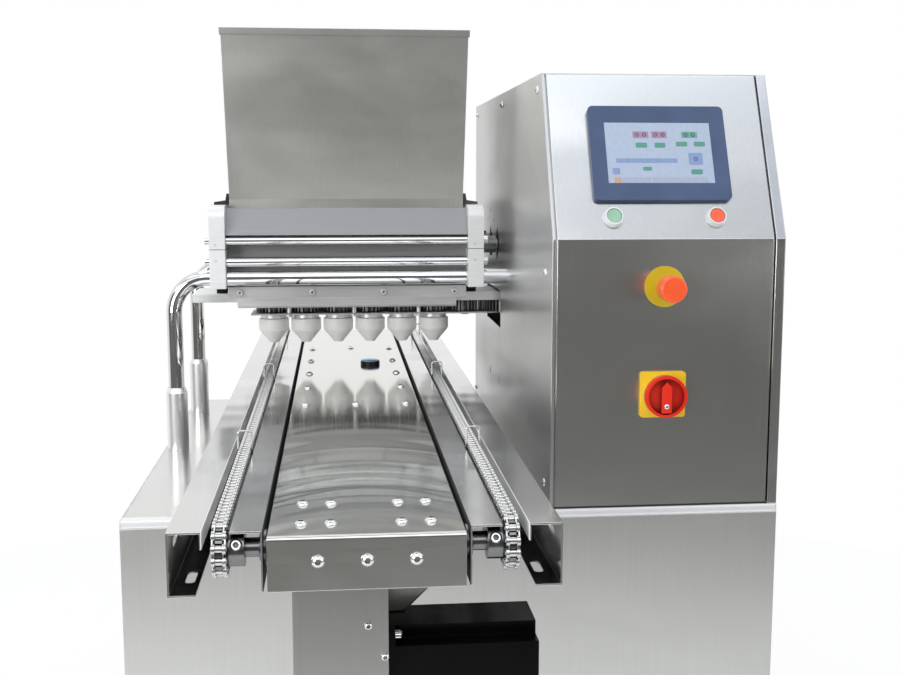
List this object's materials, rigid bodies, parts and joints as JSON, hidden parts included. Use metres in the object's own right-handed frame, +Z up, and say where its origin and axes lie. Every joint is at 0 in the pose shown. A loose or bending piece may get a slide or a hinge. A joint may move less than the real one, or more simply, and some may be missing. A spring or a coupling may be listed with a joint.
{
  "type": "cookie depositor",
  "caption": "Floor-standing cookie depositor: chain tray conveyor under a dough hopper with fluted feed rollers and geared rotating nozzles, with a control cabinet on a steel base.",
  "frame": {"origin": "centre of the bounding box on the floor", "axes": "+Z up, trays travel along Y with the operator's end at -Y, +X to the operator's right, where the control cabinet stands"},
  "size_m": [0.968, 1.6594, 1.515],
  "materials": {
    "panel_steel": "fine vertical grain, satin",
    "table_steel": "satin sheet, slightly reflective",
    "polished_steel": "smooth polished bar and tube",
    "machined_alloy": "machined, soft sheen",
    "chain_steel": "bright plated chain",
    "gear_steel": "dark oiled steel",
    "bearing_bronze": "plain bronze",
    "dark_frame": "grey primer",
    "motor_black": "satin black",
    "black_plastic": "matte",
    "bezel_plastic": "fine matte",
    "white_plastic": "food-grade, soft sheen",
    "screen_glass": "lit screen behind clear cover",
    "button_metal": "bright ring",
    "green_plastic": "lit push button",
    "orange_plastic": "gloss",
    "red_plastic": "gloss",
    "yellow_plastic": "gloss",
    "foot_rubber": "matte black"
  },
  "bodies": {
    "machine": {"base_frame": "dark_frame", "base_deck": "panel_steel", "base_front_panel": "panel_steel", "base_panels": "panel_steel", "tray_sensor": "black_plastic", "levelling_feet": "foot_rubber", "cabinet_left_wall": "panel_steel", "cabinet_front_panel": "panel_steel", "cabinet_right_cover": "panel_steel", "cabinet_rear_panel": "panel_steel", "cable_gland": "black_plastic", "hmi_bezel": "bezel_plastic", "hmi_screen": "screen_glass", "button_bezels": "button_metal", "estop_ring": "yellow_plastic", "switch_plate": "yellow_plastic", "support_tubes": "polished_steel", "post_sleeves": "polished_steel", "side_plates_lower": "machined_alloy", "side_plates_upper": "machined_alloy", "tie_rods": "polished_steel", "hopper": "panel_steel", "hopper_clips": "machined_alloy", "housing_walls": "machined_alloy", "roller_bushes": "bearing_bronze", "discharge_flange": "machined_alloy", "carrier_beam": "machined_alloy", "beam_pads": "black_plastic", "gear_guard": "machined_alloy", "gear_plate": "machined_alloy", "outer_rails": "table_steel", "inner_rails": "table_steel", "table_plate": "table_steel", "end_covers": "table_steel", "cross_members": "machined_alloy", "chain_guides": "white_plastic", "shaft_bearings": "polished_steel", "chain_left": "chain_steel", "chain_right": "chain_steel", "chain_pushers": "chain_steel", "drive_housing": "panel_steel", "drive_motor": "motor_black"},
    "start_button": {"start_button": "green_plastic"},
    "stop_button": {"stop_button": "orange_plastic"},
    "estop_button": {"estop_button": "orange_plastic"},
    "switch_handle": {"switch_handle": "red_plastic"},
    "front_shaft": {"front_shaft": "polished_steel"},
    "rear_shaft": {"rear_shaft": "polished_steel"},
    "drive_gear": {"drive_gear": "gear_steel"},
    "idler_gear": {"idler_gear": "gear_steel"},
    "nozzle_1": {"nozzle_1": "gear_steel"},
    "nozzle_2": {"nozzle_2": "gear_steel"},
    "nozzle_3": {"nozzle_3": "gear_steel"},
    "nozzle_4": {"nozzle_4": "gear_steel"},
    "nozzle_5": {"nozzle_5": "gear_steel"},
    "nozzle_6": {"nozzle_6": "gear_steel"},
    "feed_roller_front": {"feed_roller_front": "machined_alloy", "roller_gear_front": "gear_steel"},
    "feed_roller_rear": {"feed_roller_rear": "machined_alloy", "roller_gear_rear": "gear_steel"}
  },
  "joints": [
    {"name": "start_press", "type": "slide", "parent": "machine", "child": "start_button", "axis": [0, 0.9102, -0.4141], "range_m": [0, 0.004], "stiffness_N_per_m": 300},
    {"name": "stop_press", "type": "slide", "parent": "machine", "child": "stop_button", "axis": [0, 0.9102, -0.4141], "range_m": [0, 0.004], "stiffness_N_per_m": 300},
    {"name": "estop_press", "type": "slide", "parent": "machine", "child": "estop_button", "axis": [0, 1, 0], "range_m": [0, 0.006], "stiffness_N_per_m": 600},
    {"name": "main_switch_turn", "type": "hinge", "parent": "machine", "child": "switch_handle", "pos_m": [0.305, -0.308, 0.942], "axis": [0, 1, 0], "range_deg": [0, 90]},
    {"name": "front_shaft_spin", "type": "hinge", "parent": "machine", "child": "front_shaft", "pos_m": [-0.143, -0.8001, 0.883], "axis": [1, 0, 0], "continuous": true, "deforming": ["chain_left", "chain_right", "chain_pushers"]},
    {"name": "rear_shaft_spin", "type": "hinge", "parent": "machine", "child": "rear_shaft", "pos_m": [-0.143, 0.8001, 0.883], "axis": [1, 0, 0], "continuous": true},
    {"name": "front_roller_spin", "type": "hinge", "parent": "machine", "child": "feed_roller_front", "pos_m": [-0.143, 0.277, 1.133], "axis": [1, 0, 0], "continuous": true},
    {"name": "rear_roller_spin", "type": "hinge", "parent": "machine", "child": "feed_roller_rear", "pos_m": [-0.143, 0.373, 1.133], "axis": [1, 0, 0], "continuous": true},
    {"name": "drive_gear_spin", "type": "hinge", "parent": "machine", "child": "drive_gear", "pos_m": [0.175, 0.325, 1.0015], "axis": [0, 0, 1], "continuous": true},
    {"name": "idler_gear_spin", "type": "hinge", "parent": "machine", "child": "idler_gear", "pos_m": [0.08125, 0.325, 1.0015], "axis": [0, 0, 1], "continuous": true},
    {"name": "nozzle_1_spin", "type": "hinge", "parent": "machine", "child": "nozzle_1", "pos_m": [-0.29375, 0.325, 1.0015], "axis": [0, 0, 1], "continuous": true},
    {"name": "nozzle_2_spin", "type": "hinge", "parent": "machine", "child": "nozzle_2", "pos_m": [-0.23125, 0.325, 1.0015], "axis": [0, 0, 1], "continuous": true},
    {"name": "nozzle_3_spin", "type": "hinge", "parent": "machine", "child": "nozzle_3", "pos_m": [-0.16875, 0.325, 1.0015], "axis": [0, 0, 1], "continuous": true},
    {"name": "nozzle_4_spin", "type": "hinge", "parent": "machine", "child": "nozzle_4", "pos_m": [-0.10625, 0.325, 1.0015], "axis": [0, 0, 1], "continuous": true},
    {"name": "nozzle_5_spin", "type": "hinge", "parent": "machine", "child": "nozzle_5", "pos_m": [-0.04375, 0.325, 1.0015], "axis": [0, 0, 1], "continuous": true},
    {"name": "nozzle_6_spin", "type": "hinge", "parent": "machine", "child": "nozzle_6", "pos_m": [0.01875, 0.325, 1.0015], "axis": [0, 0, 1], "continuous": true}
  ],
  "couplings": [
    {"joint": "rear_shaft_spin", "follows": "front_shaft_spin", "ratio": 1},
    {"joint": "rear_roller_spin", "follows": "front_roller_spin", "ratio": -1},
    {"joint": "idler_gear_spin", "follows": "drive_gear_spin", "ratio": -2},
    {"joint": "nozzle_1_spin", "follows": "drive_gear_spin", "ratio": -2},
    {"joint": "nozzle_2_spin", "follows": "drive_gear_spin", "ratio": 2},
    {"joint": "nozzle_3_spin", "follows": "drive_gear_spin", "ratio": -2},
    {"joint": "nozzle_4_spin", "follows": "drive_gear_spin", "ratio": 2},
    {"joint": "nozzle_5_spin", "follows": "drive_gear_spin", "ratio": -2},
    {"joint": "nozzle_6_spin", "follows": "drive_gear_spin", "ratio": 2}
  ]
}
